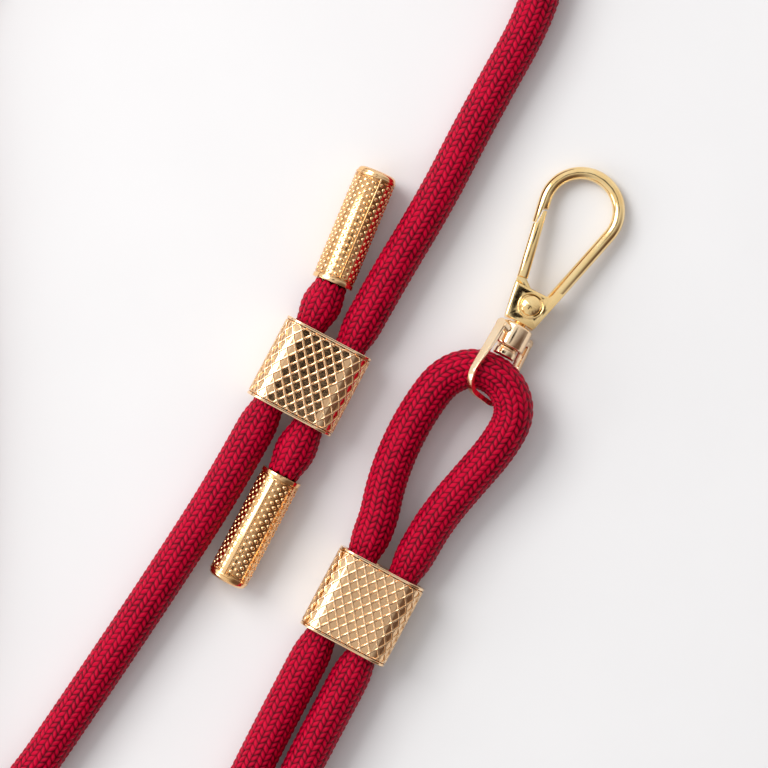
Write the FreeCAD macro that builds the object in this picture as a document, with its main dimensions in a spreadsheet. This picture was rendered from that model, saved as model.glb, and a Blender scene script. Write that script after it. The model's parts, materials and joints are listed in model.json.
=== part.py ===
import FreeCAD, Part

import math
import os

import Sketcher
from FreeCAD import Placement, Rotation, Vector

# Adjustable neck lanyard: one braided round cord with a metal ferrule on each end, an adjuster
# slider and a keeper slider that both strands run through, and a swivel snap hook on the bight.
# Millimetres.  X and Y lie in the table, Z is up, and the origin is on the table under the
# middle of the metal parts.

doc = FreeCAD.newDocument("lanyard")

# ---------------------------------------------------------------- driving dimensions

DIMENSIONS = [
    ("cord_diameter", 8.0, "braided cord, outside"),
    ("cord_crimped_diameter", 6.2, "cord end inside a ferrule"),
    ("cord_crimped_length", 8.5, "how far the cord enters a ferrule"),
    ("slider_width", 19.4, "slider, across both strands"),
    ("slider_length", 18.0, "slider, along the cord"),
    ("slider_height", 10.5, "slider, off the table"),
    ("slider_corner", 4.1, "slider's long rounded edges"),
    ("channel_diameter", 8.5, "bore that a strand runs in"),
    ("channel_offset", 4.6, "bore axis from the slider's middle"),
    ("ferrule_diameter", 8.7, "ferrule, outside"),
    ("ferrule_length", 24.7, "ferrule, mouth to closed end"),
    ("ferrule_bore", 6.4, "ferrule's blind bore"),
    ("ferrule_bore_depth", 9.0, "depth of the blind bore"),
    ("ferrule_round", 0.9, "rounding of the closed end"),
    ("wire_diameter", 2.6, "hook's cast bow"),
    ("bow_radius", 7.75, "bow's centre line"),
    ("bow_centre_x", 0.3, "bow's centre, beside the hook axis"),
    ("bow_centre_y", 30.8, "bow's centre, from the eye's middle"),
    ("nose_lean", 11.3, "degrees, nose side against the hook axis"),
    ("back_lean", 13.6, "degrees, back side against the hook axis"),
    ("nose_end_y", 24.3, "where the nose stops"),
    ("block_bottom", 3.95, "hook block's lower face"),
    ("block_top", 11.3, "hook block's upper face"),
    ("block_thickness", 4.4, "hook block"),
    ("slot_height", 2.2, "slot for the gate and its spring"),
    ("rivet_x", 0.27, "gate pivot, beside the hook axis"),
    ("rivet_y", 8.04, "gate pivot, from the eye's middle"),
    ("rivet_shank", 2.0, "gate rivet's shank diameter"),
    ("rivet_head", 4.3, "gate rivet's domed head diameter"),
    ("rivet_dome", 0.85, "height of the domed head"),
    ("gate_width", 2.2, "gate bar, in the hook's plane"),
    ("gate_depth", 2.6, "gate bar, across the hook's plane"),
    ("gate_plate", 1.0, "gate's tail in the slot"),
    ("gate_hub", 3.6, "gate's round hub diameter"),
    ("gate_bore", 2.1, "gate's pivot hole"),
    ("gate_foot_y", 12.6, "lower end of the gate bar"),
    ("gate_tip_y", 27.1, "end of the gate's tongue"),
    ("eye_barrel_diameter", 6.7, "swivel eye's barrel"),
    ("eye_barrel_bottom", -1.6, "barrel's lower face"),
    ("eye_barrel_top", 3.45, "barrel's upper face"),
    ("eye_bore", 2.6, "barrel's bore"),
    ("ring_half_width", 6.1, "ring's clear half width"),
    ("ring_thickness", 1.0, "ring strip, in the ring's plane"),
    ("ring_strip_width", 2.0, "ring strip, across the ring's plane"),
    ("ring_bottom", -12.65, "ring's inner bottom face"),
    ("ring_corner", 3.6, "ring's inner corner radius"),
    ("ring_shoulder", 1.2, "how much narrower the ring is at the barrel"),
    ("ring_turn", 52.0, "degrees, ring's plane against the hook's"),
    ("ear_diameter", 2.3, "round ears where the ring joins the barrel"),
    ("ear_reach", 5.9, "ear's end from the hook axis"),
    ("ear_y", 1.7, "ears' axis"),
    ("swivel_shank", 2.5, "swivel rivet's shank diameter"),
    ("swivel_head", 4.9, "swivel rivet's head diameter"),
    ("swivel_collar", 4.3, "collar between the head and the barrel"),
    ("swivel_depth", 5.7, "how far up the shank reaches"),
    ("spring_wire", 0.35, "gate spring's wire diameter"),
    ("spring_radius", 1.55, "gate spring's mean coil radius"),
]

sheet = doc.addObject("Spreadsheet::Sheet", "dims")
for row, (alias, value, note) in enumerate(DIMENSIONS, start=1):
    sheet.set(f"A{row}", note)
    sheet.set(f"B{row}", str(value))
    sheet.setAlias(f"B{row}", alias)
doc.recompute()


def size(alias):
    """Read a driving dimension from the sheet."""
    return float(sheet.get(alias))


# ---------------------------------------------------------------- where the pieces lie

LANYARD_ANGLE = -28.0  # degrees about Z, from +Y to the line of the lanyard
HOOK_PITCH = -6.3  # degrees, the hook's bow comes down to the table
CORD_LIFT = size("slider_height") / 2  # a slider holds its strands this high

along_table = Rotation(Vector(0, 0, 1), LANYARD_ANGLE)
adjuster_place = Placement(Vector(-22.79, 8.24, CORD_LIFT), along_table)
keeper_place = Placement(Vector(-11.94, -38.86, CORD_LIFT), along_table)
hook_place = Placement(
    Vector(18.46, 15.44, 5.66),
    along_table.multiply(Rotation(Vector(1, 0, 0), HOOK_PITCH)),
)
FERRULE_DIP = 1.75  # degrees, each ferrule's closed end comes down to the table
UPPER_FERRULE_ANGLE = -22.6  # degrees about Z, from +Y
LOWER_FERRULE_ANGLE = 152.0

# ---------------------------------------------------------------- modelling helpers


def bind(thing, **expressions):
    """Bind properties of a document object to expressions on the sheet."""
    for name, expression in expressions.items():
        thing.setExpression(name, expression)
    return thing


def primitive(kind, name, place=None, **expressions):
    """Add a Part primitive with its sizes bound to the sheet."""
    thing = bind(doc.addObject(kind, name), **expressions)
    if place is not None:
        thing.Placement = place
    return thing


def fuse(name, shapes):
    """Fuse document objects."""
    joined = doc.addObject("Part::MultiFuse", name)
    joined.Shapes = shapes
    return joined


def cut(name, base, tool):
    """Cut one document object from another."""
    left = doc.addObject("Part::Cut", name)
    left.Base = base
    left.Tool = tool
    return left


def round_edges(name, base, radius, chosen):
    """Round the edges of a document object that the test picks."""
    doc.recompute()
    rounded = doc.addObject("Part::Fillet", name)
    rounded.Base = base
    rounded.Edges = [
        (number, radius, radius)
        for number, edge in enumerate(base.Shape.Edges, start=1)
        if chosen(edge)
    ]
    return rounded


def runs_along(edge, direction):
    """True for a straight edge parallel to the direction."""
    if not isinstance(edge.Curve, Part.Line):
        return False
    return abs(edge.Curve.Direction.dot(direction)) > 0.999


def origin_plane(body, role):
    """One of a body's own origin planes."""
    return next(f for f in body.Origin.OriginFeatures if f.Role == role)


def worked_out(value):
    """The number that a sheet expression gives now; a number is returned as it is."""
    if not isinstance(value, str):
        return float(value)
    sheet.set("D1", "=" + value.replace("dims.", ""))
    doc.recompute()
    number = float(sheet.get("D1"))
    sheet.clear("D1")
    return number


def outline(body, name, role, corners, offset=None):
    """A closed sketch of straight sides whose corners are numbers or sheet expressions."""
    sketch = body.newObject("Sketcher::SketchObject", name)
    sketch.AttachmentSupport = [(origin_plane(body, role), "")]
    sketch.MapMode = "FlatFace"
    if offset is not None:
        sketch.AttachmentOffset = offset
    points = [Vector(worked_out(corner[0]), worked_out(corner[1]), 0) for corner in corners]
    count = len(points)
    for i in range(count):
        sketch.addGeometry(Part.LineSegment(points[i], points[(i + 1) % count]), False)
    for i in range(count):
        sketch.addConstraint(Sketcher.Constraint("Coincident", i, 2, (i + 1) % count, 1))
    for i, corner in enumerate(corners):
        for axis, part, value in zip(("DistanceX", "DistanceY"), corner, points[i]):
            number = sketch.addConstraint(Sketcher.Constraint(axis, -1, 1, i, 1, value))
            if isinstance(part, str):
                sketch.setExpression(f"Constraints[{number}]", part)
    return sketch


def turned_piece(name, corners):
    """A body turned about its own Y axis from a half section in the XY plane."""
    body = doc.addObject("PartDesign::Body", name)
    sketch = outline(body, name + "_section", "XY_Plane", corners)
    turning = body.newObject("PartDesign::Revolution", name + "_turning")
    turning.Profile = sketch
    turning.ReferenceAxis = (sketch, ["V_Axis"])
    turning.Angle = 360.0
    doc.recompute()
    return body


def flat_piece(name, corners, thickness, lowest):
    """A body padded up from the given height, with straight sides."""
    body = doc.addObject("PartDesign::Body", name)
    start = Placement(Vector(0, 0, lowest), Rotation())
    sketch = outline(body, name + "_outline", "XY_Plane", corners, start)
    pad = body.newObject("PartDesign::Pad", name + "_pad")
    pad.Profile = sketch
    if isinstance(thickness, str):
        pad.setExpression("Length", thickness)
    else:
        pad.Length = thickness
    doc.recompute()
    return body


finished = {}


def finish(node, thing, place=None):
    """Name a finished sub-part and put it where it belongs."""
    thing.Label = node
    if place is not None:
        thing.Placement = place
    finished[node] = thing


# ---------------------------------------------------------------- sliders

LIE_ALONG_Y = Rotation(Vector(1, 0, 0), -90)


def slider(node, place):
    """A flattened tube with two round channels side by side, its long edges well rounded."""
    width, length, height = size("slider_width"), size("slider_length"), size("slider_height")
    block = primitive(
        "Part::Box",
        node + "_block",
        Placement(Vector(-width / 2, -length / 2, -height / 2), Rotation()),
        Length="dims.slider_width",
        Width="dims.slider_length",
        Height="dims.slider_height",
    )
    rounded = round_edges(
        node + "_rounded",
        block,
        size("slider_corner"),
        lambda edge: runs_along(edge, Vector(0, 1, 0)),
    )
    channels = []
    for side, name in ((-1, "left"), (1, "right")):
        channels.append(
            primitive(
                "Part::Cylinder",
                f"{node}_{name}_channel",
                Placement(Vector(side * size("channel_offset"), -length / 2 - 1, 0), LIE_ALONG_Y),
                Radius="dims.channel_diameter / 2",
                Height="dims.slider_length + 2",
            )
        )
    finish(node, cut(node + "_body", rounded, fuse(node + "_channels", channels)), place)


slider("adjuster_slider", adjuster_place)
slider("keeper_slider", keeper_place)

# ---------------------------------------------------------------- cord ends


def ferrule(node, mouth, angle):
    """A closed metal cap; its mouth is at the given point and it points away along the angle."""
    body = turned_piece(
        node + "_body",
        [
            ("dims.ferrule_bore / 2", 0.0),
            ("dims.ferrule_diameter / 2", 0.0),
            ("dims.ferrule_diameter / 2", "dims.ferrule_length - dims.ferrule_round"),
            ("dims.ferrule_diameter / 2 - dims.ferrule_round", "dims.ferrule_length"),
            (0.0, "dims.ferrule_length"),
            (0.0, "dims.ferrule_bore_depth"),
            ("dims.ferrule_bore / 2", "dims.ferrule_bore_depth"),
        ],
    )
    turn = Rotation(Vector(0, 0, 1), angle).multiply(Rotation(Vector(1, 0, 0), -FERRULE_DIP))
    finish(node, body, Placement(mouth, turn))
    return turn.multVec(Vector(0, 1, 0))


def on_slider(place, x, y):
    """A point in a slider's own frame, on its strands' level."""
    return place.multVec(Vector(x, y, 0))


ferrule_run = 2.6  # cord between its last bend and the ferrule's mouth
upper_bend = on_slider(adjuster_place, -size("channel_offset"), 16.4)
lower_bend = on_slider(adjuster_place, size("channel_offset"), -17.9)
upper_turn = Rotation(Vector(0, 0, 1), UPPER_FERRULE_ANGLE).multiply(
    Rotation(Vector(1, 0, 0), -FERRULE_DIP)
)
lower_turn = Rotation(Vector(0, 0, 1), LOWER_FERRULE_ANGLE).multiply(
    Rotation(Vector(1, 0, 0), -FERRULE_DIP)
)
upper_mouth = upper_bend + upper_turn.multVec(Vector(0, ferrule_run, 0))
lower_mouth = lower_bend + lower_turn.multVec(Vector(0, ferrule_run, 0))
ferrule("ferrule_upper", upper_mouth, UPPER_FERRULE_ANGLE)
ferrule("ferrule_lower", lower_mouth, LOWER_FERRULE_ANGLE)

# ---------------------------------------------------------------- swivel eye

# In the hook's frame Y runs along the hook axis towards the bow, X is across the hook's
# plane's width and Z is its normal; the origin is in the middle of the swivel eye's barrel.

barrel = primitive(
    "Part::Cylinder",
    "eye_barrel",
    Placement(Vector(0, size("eye_barrel_bottom"), 0), LIE_ALONG_Y),
    Radius="dims.eye_barrel_diameter / 2",
    Height="dims.eye_barrel_top - dims.eye_barrel_bottom",
)
barrel_rounded = round_edges("eye_barrel_rounded", barrel, 0.6, lambda edge: edge.Closed)
ring_turn = Rotation(Vector(0, 1, 0), size("ring_turn"))
ACROSS_X = Rotation(Vector(0, 1, 0), 90)
ears = primitive(
    "Part::Cylinder",
    "eye_ears",
    Placement(Vector(-size("ear_reach"), size("ear_y"), 0), ACROSS_X),
    Radius="dims.ear_diameter / 2",
    Height="dims.ear_reach * 2",
)


def ring_outline(half_width, bottom, corner, top):
    """Closed D outline: arms that lean in to the top, round corners and a straight bottom."""
    bend = corner * math.sqrt(0.5)
    corner_y = bottom + corner
    corner_x = half_width - corner
    top_x = half_width - size("ring_shoulder")
    edges = []
    for side in (-1, 1):
        top_end = Vector(side * top_x, top, 0)
        arm_end = Vector(side * half_width, corner_y, 0)
        middle = Vector(side * (corner_x + bend), corner_y - bend, 0)
        bottom_end = Vector(side * corner_x, bottom, 0)
        edges.append(Part.LineSegment(top_end, arm_end).toShape())
        edges.append(Part.Arc(arm_end, middle, bottom_end).toShape())
    edges.append(
        Part.LineSegment(Vector(-corner_x, bottom, 0), Vector(corner_x, bottom, 0)).toShape()
    )
    edges.append(Part.LineSegment(Vector(-top_x, top, 0), Vector(top_x, top, 0)).toShape())
    return Part.Wire(Part.__sortEdges__(edges))


def ring_shape():
    """The flat strip of the ring, bent round the cord, in its own plane."""
    clear, strip, width = size("ring_half_width"), size("ring_thickness"), size("ring_strip_width")
    bottom, corner = size("ring_bottom"), size("ring_corner")
    top = size("ear_y") + size("ear_diameter") * 0.3
    outer = ring_outline(clear + strip, bottom - strip, corner + strip, top)
    inner = ring_outline(clear, bottom, corner, top + 0.5)
    inner_solid = Part.Face(inner).extrude(Vector(0, 0, width + 2))
    inner_solid.translate(Vector(0, 0, -1))
    strip_ring = Part.Face(outer).extrude(Vector(0, 0, width)).cut(inner_solid)
    strip_ring.translate(Vector(0, 0, -width / 2))
    return strip_ring


ring = doc.addObject("Part::Feature", "eye_ring")
ring.Shape = ring_shape()
ring_and_ears = fuse("eye_ring_and_ears", [ring, ears])
ring_and_ears.Placement = Placement(Vector(), ring_turn)
eye_bore = primitive(
    "Part::Cylinder",
    "eye_bore_tool",
    Placement(Vector(0, size("eye_barrel_bottom") - 1, 0), LIE_ALONG_Y),
    Radius="dims.eye_bore / 2",
    Height="dims.eye_barrel_top - dims.eye_barrel_bottom + 2",
)
eye = cut("eye_body", fuse("eye_solid", [barrel_rounded, ring_and_ears]), eye_bore)
finish("swivel_eye", eye, hook_place)

swivel_rivet = turned_piece(
    "swivel_rivet_body",
    [
        (0.0, "dims.eye_barrel_bottom - 2.1"),
        ("dims.swivel_head / 2 - 0.35", "dims.eye_barrel_bottom - 2.1"),
        ("dims.swivel_head / 2", "dims.eye_barrel_bottom - 1.8"),
        ("dims.swivel_head / 2", "dims.eye_barrel_bottom - 0.6"),
        ("dims.swivel_collar / 2", "dims.eye_barrel_bottom - 0.6"),
        ("dims.swivel_collar / 2", "dims.eye_barrel_bottom - 0.1"),
        ("dims.swivel_shank / 2", "dims.eye_barrel_bottom - 0.1"),
        ("dims.swivel_shank / 2", "dims.swivel_depth"),
        (0.0, "dims.swivel_depth"),
    ],
)
finish("swivel_rivet", swivel_rivet, hook_place)

# ---------------------------------------------------------------- hook frame


def lean_point(side, lean, y, out=0.0):
    """A point on the bow's straight side, at height y, moved outwards by out."""
    angle = math.radians(size(lean))
    radius = size("bow_radius") + out
    tangent_x = size("bow_centre_x") + side * radius * math.cos(angle)
    tangent_y = size("bow_centre_y") - radius * math.sin(angle)
    return Vector(tangent_x - side * (tangent_y - y) * math.tan(angle), y, 0)


def straight_side(name, side, lean, lowest):
    """A round bar from the bow's tangent point down to the given height."""
    angle = math.radians(size(lean))
    top = lean_point(side, lean, size("bow_centre_y") - size("bow_radius") * math.sin(angle))
    foot = lean_point(side, lean, lowest)
    return primitive(
        "Part::Cylinder",
        name,
        Placement(foot, Rotation(Vector(0, 0, 1), top - foot)),
        Radius="dims.wire_diameter / 2",
        Height=f"{(top - foot).Length} mm",
    )


bow = primitive(
    "Part::Torus",
    "hook_bow_arc",
    Placement(
        Vector(size("bow_centre_x"), size("bow_centre_y"), 0),
        Rotation(Vector(0, 0, 1), -size("back_lean")),
    ),
    Radius1="dims.bow_radius",
    Radius2="dims.wire_diameter / 2",
    Angle3="180 + dims.nose_lean + dims.back_lean",
)
back = straight_side("hook_back", 1, "back_lean", 9.0)
nose = straight_side("hook_nose", -1, "nose_lean", size("nose_end_y"))

SPRING_LEVEL = 0.23  # the spring's first turn, off the slot's middle
wall = 0.05  # the block's side stands this much inside the bar's outer line
block_corners = [
    (-3.6, "dims.block_bottom"),
    (lean_point(1, "back_lean", size("block_bottom"), size("wire_diameter") / 2 - wall).x,
     "dims.block_bottom"),
    (lean_point(1, "back_lean", size("block_top") + 2, size("wire_diameter") / 2 - wall).x,
     "dims.block_top + 2"),
    (3.6, "dims.block_top + 1.6"),
    (2.8, "dims.block_top"),
    (-4.9, "dims.block_top"),
]
block = flat_piece(
    "hook_block", block_corners, "dims.block_thickness", -size("block_thickness") / 2
)
slot = flat_piece(
    "hook_slot",
    [(-6.0, 8.4), (-2.4, 6.05), (1.4, 6.05), (2.9, 7.2), (2.9, 10.4), (1.4, 13.5), (-6.0, 13.5)],
    "dims.slot_height",
    -size("slot_height") / 2,
)
rivet_hole = primitive(
    "Part::Cylinder",
    "hook_rivet_hole",
    Placement(Vector(size("rivet_x"), size("rivet_y"), -5), Rotation()),
    Radius="dims.rivet_shank / 2",
    Height="10 mm",
)
post_hole = primitive(
    "Part::Cylinder",
    "hook_post_hole",
    Placement(Vector(0, size("block_bottom") - 1, 0), LIE_ALONG_Y),
    Radius="dims.swivel_shank / 2",
    Height="dims.swivel_depth - dims.block_bottom + 1",
)
# The nose ends in a tongue on its outer side; the gate's tongue lies inside it.
scarf = flat_piece(
    "hook_scarf",
    [(-6.8, 22.0), (-3.0, 22.0), (-3.0, 28.85), (-6.77, 27.3)],
    6.0,
    -3.0,
)
spring_hole = primitive(
    "Part::Cylinder",
    "hook_spring_hole",
    Placement(Vector(-5.0, size("rivet_y") - size("spring_radius"), SPRING_LEVEL), ACROSS_X),
    Radius="dims.spring_wire / 2 + 0.06",
    Height="3 mm",
)
frame = cut(
    "hook_frame_body",
    fuse("hook_frame_solid", [bow, back, nose, block]),
    fuse("hook_frame_tools", [slot, rivet_hole, post_hole, scarf, spring_hole]),
)
finish("hook_frame", frame, hook_place)

# ---------------------------------------------------------------- gate, its rivet and its spring

def gate_side(y, out):
    """A point on the gate bar, moved out from its centre line."""
    return lean_point(-1, "nose_lean", y, out).x


half = size("gate_width") / 2
foot, tip = size("gate_foot_y"), size("gate_tip_y")
shoulder = size("nose_end_y") - 0.7
gate_bar = flat_piece(
    "gate_bar",
    [
        (gate_side(foot, half), "dims.gate_foot_y"),
        (gate_side(foot, -half), "dims.gate_foot_y + 0.35"),
        (gate_side(tip, -half), "dims.gate_tip_y"),
        (-6.5, "dims.gate_tip_y - 0.2"),
        (-6.54, shoulder + 0.4),
        (gate_side(shoulder, half), shoulder),
    ],
    "dims.gate_depth",
    -size("gate_depth") / 2,
)
plate_low = -size("slot_height") / 2 + 0.1
gate_tail = flat_piece(
    "gate_tail",
    [(-5.05, 13.0), (-4.7, 10.2), (-1.2, 7.1), (1.5, 9.3), (-3.2, 13.0)],
    "dims.gate_plate",
    plate_low,
)
gate_hub = primitive(
    "Part::Cylinder",
    "gate_hub",
    Placement(Vector(size("rivet_x"), size("rivet_y"), plate_low), Rotation()),
    Radius="dims.gate_hub / 2",
    Height="dims.gate_plate",
)
gate_hole = primitive(
    "Part::Cylinder",
    "gate_pivot_hole",
    Placement(Vector(size("rivet_x"), size("rivet_y"), -5), Rotation()),
    Radius="dims.gate_bore / 2",
    Height="10 mm",
)
gate_solid = fuse("gate_solid", [gate_bar, gate_tail, gate_hub])
finish("gate", cut("gate_body", gate_solid, gate_hole), hook_place)

STAND_UP = Rotation(Vector(1, 0, 0), 90)
face = size("block_thickness") / 2
head_steps = 4
dome = []
for step in range(head_steps + 1):
    turn = math.radians(90 * step / head_steps)
    dome.append((size("rivet_head") / 2 * math.cos(turn), size("rivet_dome") * math.sin(turn)))
rivet_section = [(0.0, -face - size("rivet_dome"))]
rivet_section += [(x, -face - y) for x, y in reversed(dome[:-1])]
rivet_section += [("dims.rivet_shank / 2", -face), ("dims.rivet_shank / 2", face)]
rivet_section += [(x, face + y) for x, y in dome[:-1]]
rivet_section += [(0.0, face + size("rivet_dome"))]
gate_rivet = turned_piece("gate_rivet_body", rivet_section)
at_rivet = Placement(Vector(size("rivet_x"), size("rivet_y"), 0), STAND_UP)
finish("gate_rivet", gate_rivet, hook_place.multiply(at_rivet))


def spring_shape():
    """One and a half turns round the rivet, one leg out through the block, one over the gate."""
    radius, wire = size("spring_radius"), size("spring_wire")
    turns, pitch = 1.5, wire * 1.1
    centre = Vector(size("rivet_x"), size("rivet_y"), SPRING_LEVEL)
    helix = Part.makeHelix(pitch, pitch * turns, radius)
    helix.rotate(Vector(), Vector(0, 0, 1), 270)
    helix.translate(centre)
    anchor_end = centre + Vector(-4.35, -radius, 0)
    first_turn = centre + Vector(0, -radius, 0)
    last_turn = centre + Vector(0, radius, pitch * turns)
    gate_leg = Vector(-2.9, 0.8, 0)
    leg_start = last_turn + Vector(0.2, 0, 0)
    swept = []
    for path, begin, heading in (
        (Part.Wire(Part.makeLine(anchor_end, first_turn)), anchor_end, Vector(1, 0, 0)),
        (Part.Wire(helix.Edges), first_turn, Vector(1, 0, 0)),
        (Part.Wire(Part.makeLine(leg_start, last_turn + gate_leg)), leg_start, gate_leg),
    ):
        profile = Part.Wire([Part.Circle(begin, heading, wire / 2).toShape()])
        swept.append(path.makePipeShell([profile], True, True))
    return swept[0].fuse(swept[1:])


spring = doc.addObject("Part::Feature", "gate_spring_wire")
spring.Shape = spring_shape()
finish("gate_spring", spring, hook_place)

# ---------------------------------------------------------------- cord

# The cord's route, point by point, in three lengths that meet inside the keeper's channels.
FLAT = 4.02  # the cord's middle where it lies on the table
keeper_left = on_slider(keeper_place, -size("channel_offset"), 0)
keeper_right = on_slider(keeper_place, size("channel_offset"), 0)


def beside(place, x, y, height):
    """A point of the cord given in a slider's frame, at its own height off the table."""
    point = place.multVec(Vector(x, y, 0))
    point.z = height
    return point


ADJUSTER_SIDE = [
    upper_mouth,
    upper_bend,
    beside(adjuster_place, -4.6, -24.0, 5.25),
    beside(adjuster_place, -6.75, -50.0, 4.3),
    beside(adjuster_place, -9.9, -80.0, FLAT),
    Vector(-83.0, -78.0, FLAT),
    Vector(-98.5, -91.5, FLAT),
    Vector(-103.0, -110.0, FLAT),
    Vector(-92.5, -126.0, FLAT),
    Vector(-73.5, -130.5, FLAT),
    Vector(-56.5, -119.5, FLAT),
    Vector(-44.5, -93.5, FLAT),
    beside(keeper_place, -4.6, -36.0, 5.25),
    keeper_left,
]
HOOK_BIGHT = [
    keeper_left,
    beside(keeper_place, -4.6, 14.5, 5.25),
    beside(keeper_place, -7.6, 24.5, 5.5),
    beside(keeper_place, -8.7, 33.5, 5.8),
    beside(keeper_place, -8.5, 42.0, 6.15),
    beside(keeper_place, -7.2, 49.8, 6.4),
    beside(keeper_place, -2.4, 54.4, 6.6),
    beside(keeper_place, 4.3, 54.4, 6.85),
    beside(keeper_place, 9.4, 49.7, 6.9),
    beside(keeper_place, 9.3, 42.0, 6.4),
    beside(keeper_place, 7.4, 33.8, 5.8),
    beside(keeper_place, 5.6, 26.0, 5.5),
    beside(keeper_place, 4.6, 18.0, 5.25),
    keeper_right,
]
NECK_SIDE = [
    keeper_right,
    beside(keeper_place, 4.6, -34.0, 5.25),
    Vector(-34.0, -98.0, FLAT),
    Vector(-47.0, -125.0, FLAT),
    Vector(-69.0, -140.5, FLAT),
    Vector(-96.0, -137.0, FLAT),
    Vector(-112.0, -115.0, FLAT),
    Vector(-108.0, -84.0, FLAT),
    Vector(-98.5, -45.0, FLAT),
    Vector(-96.0, 5.0, FLAT),
    Vector(-98.0, 52.0, FLAT),
    Vector(-90.0, 90.0, FLAT),
    Vector(-62.0, 107.0, FLAT),
    Vector(-22.0, 114.0, FLAT),
    Vector(8.0, 117.0, FLAT),
    Vector(23.5, 105.5, FLAT),
    Vector(25.5, 87.5, FLAT),
    beside(adjuster_place, 5.6, 62.0, FLAT),
    beside(adjuster_place, 6.0, 45.0, 4.2),
    beside(adjuster_place, 4.6, 20.0, 5.25),
    lower_bend,
    lower_mouth,
]
ARC_SHARE = 0.45  # of the shorter run, taken by each bend


def rounded_path(points, name):
    """Straight runs joined by tangent arcs; prints the tightest radius."""
    edges, radii = [], []
    begin = points[0]
    for before, corner, after in zip(points, points[1:], points[2:]):
        back_run, next_run = before - corner, after - corner
        turn = math.pi - back_run.getAngle(next_run)
        if turn < 1e-4:
            continue
        reach = ARC_SHARE * min(back_run.Length, next_run.Length)
        radius = reach / math.tan(turn / 2)
        radii.append(radius)
        towards = back_run.normalize()
        onwards = next_run.normalize()
        first, last = corner + towards * reach, corner + onwards * reach
        inward = (towards + onwards).normalize()
        depth = radius / math.cos(turn / 2) - radius
        edges.append(Part.LineSegment(begin, first).toShape())
        edges.append(Part.Arc(first, corner + inward * depth, last).toShape())
        begin = last
    edges.append(Part.LineSegment(begin, points[-1]).toShape())
    print(name, "radii", [round(radius, 1) for radius in radii])
    return Part.Wire(edges)


def tube(node, points, crimped_end=None):
    """A round tube along the route; a thinner end goes on into a ferrule where one is given."""
    path = rounded_path([Vector(point) for point in points], node)
    radius = size("cord_diameter") / 2
    start = points[0]
    profile = Part.Wire([Part.Circle(start, points[1] - start, radius).toShape()])
    solid = path.makePipeShell([profile], True, True)
    expected = math.pi * radius**2 * path.Length
    print(node, "length", round(path.Length, 1), "volume ratio", round(solid.Volume / expected, 4))
    if crimped_end is not None:
        mouth, heading = crimped_end
        inside = Part.makeCylinder(
            size("cord_crimped_diameter") / 2, size("cord_crimped_length"), mouth, heading
        )
        solid = solid.fuse(inside)
    thing = doc.addObject("Part::Feature", node + "_tube")
    thing.Shape = solid
    finish(node, thing)
    return path.Length


forward = Vector(0, 1, 0)
total = tube("cord_adjuster_run", ADJUSTER_SIDE, (upper_mouth, upper_turn.multVec(forward)))
total += tube("cord_bight", HOOK_BIGHT)
total += tube("cord_neck_run", NECK_SIDE, (lower_mouth, lower_turn.multVec(forward)))
print("cord from ferrule to ferrule", round(total, 1))

# ---------------------------------------------------------------- check and write

doc.recompute()
for thing in doc.Objects:
    if "Invalid" in thing.State or "Error" in thing.State:
        raise RuntimeError(f"{thing.Name} failed: {thing.State}")
hardware = FreeCAD.BoundBox()
for node, thing in finished.items():
    if thing.Shape.isNull() or not thing.Shape.isValid():
        raise RuntimeError(f"{node} has no valid shape")
    if not node.startswith("cord_"):
        hardware.add(thing.Shape.BoundBox)
print("metal parts", hardware, "middle", hardware.Center)

os.makedirs("parts", exist_ok=True)
for node, thing in finished.items():
    thing.Shape.exportStep(f"parts/{node}.step")
    print(node, len(thing.Shape.Solids), round(thing.Shape.Volume, 1))
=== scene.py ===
"""Adjustable cord lanyard with a swivel snap hook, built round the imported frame."""

import json
import logging
import math
from dataclasses import dataclass, field
from typing import Callable, Iterator, Optional, Sequence

import bmesh
import bpy
from mathutils import Matrix, Vector


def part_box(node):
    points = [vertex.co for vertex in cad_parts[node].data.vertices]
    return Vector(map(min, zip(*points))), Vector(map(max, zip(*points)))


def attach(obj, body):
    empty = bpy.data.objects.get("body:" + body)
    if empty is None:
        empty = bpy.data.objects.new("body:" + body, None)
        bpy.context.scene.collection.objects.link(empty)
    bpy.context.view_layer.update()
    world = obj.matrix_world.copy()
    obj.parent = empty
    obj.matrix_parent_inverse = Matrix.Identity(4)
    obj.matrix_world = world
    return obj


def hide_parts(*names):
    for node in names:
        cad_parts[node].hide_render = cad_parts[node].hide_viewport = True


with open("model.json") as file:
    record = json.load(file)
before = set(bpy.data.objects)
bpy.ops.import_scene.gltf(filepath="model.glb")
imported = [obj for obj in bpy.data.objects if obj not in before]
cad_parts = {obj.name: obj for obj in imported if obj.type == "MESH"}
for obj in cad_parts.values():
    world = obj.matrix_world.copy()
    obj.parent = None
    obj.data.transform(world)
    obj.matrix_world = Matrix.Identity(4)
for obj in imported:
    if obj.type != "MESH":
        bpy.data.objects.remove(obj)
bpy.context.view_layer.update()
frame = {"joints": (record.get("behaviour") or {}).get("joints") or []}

logging.basicConfig(level=logging.INFO, format="%(message)s")
LOG = logging.getLogger("lanyard")

Piece = bpy.types.Object
Material = bpy.types.Material
Socket = bpy.types.NodeSocket
Edge = bmesh.types.BMEdge
Face = bmesh.types.BMFace

JOINTS = {joint["name"]: joint for joint in frame["joints"]}
SHARP = math.radians(50)  # faces that meet at more than this make a clear corner


# ---- places


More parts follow.
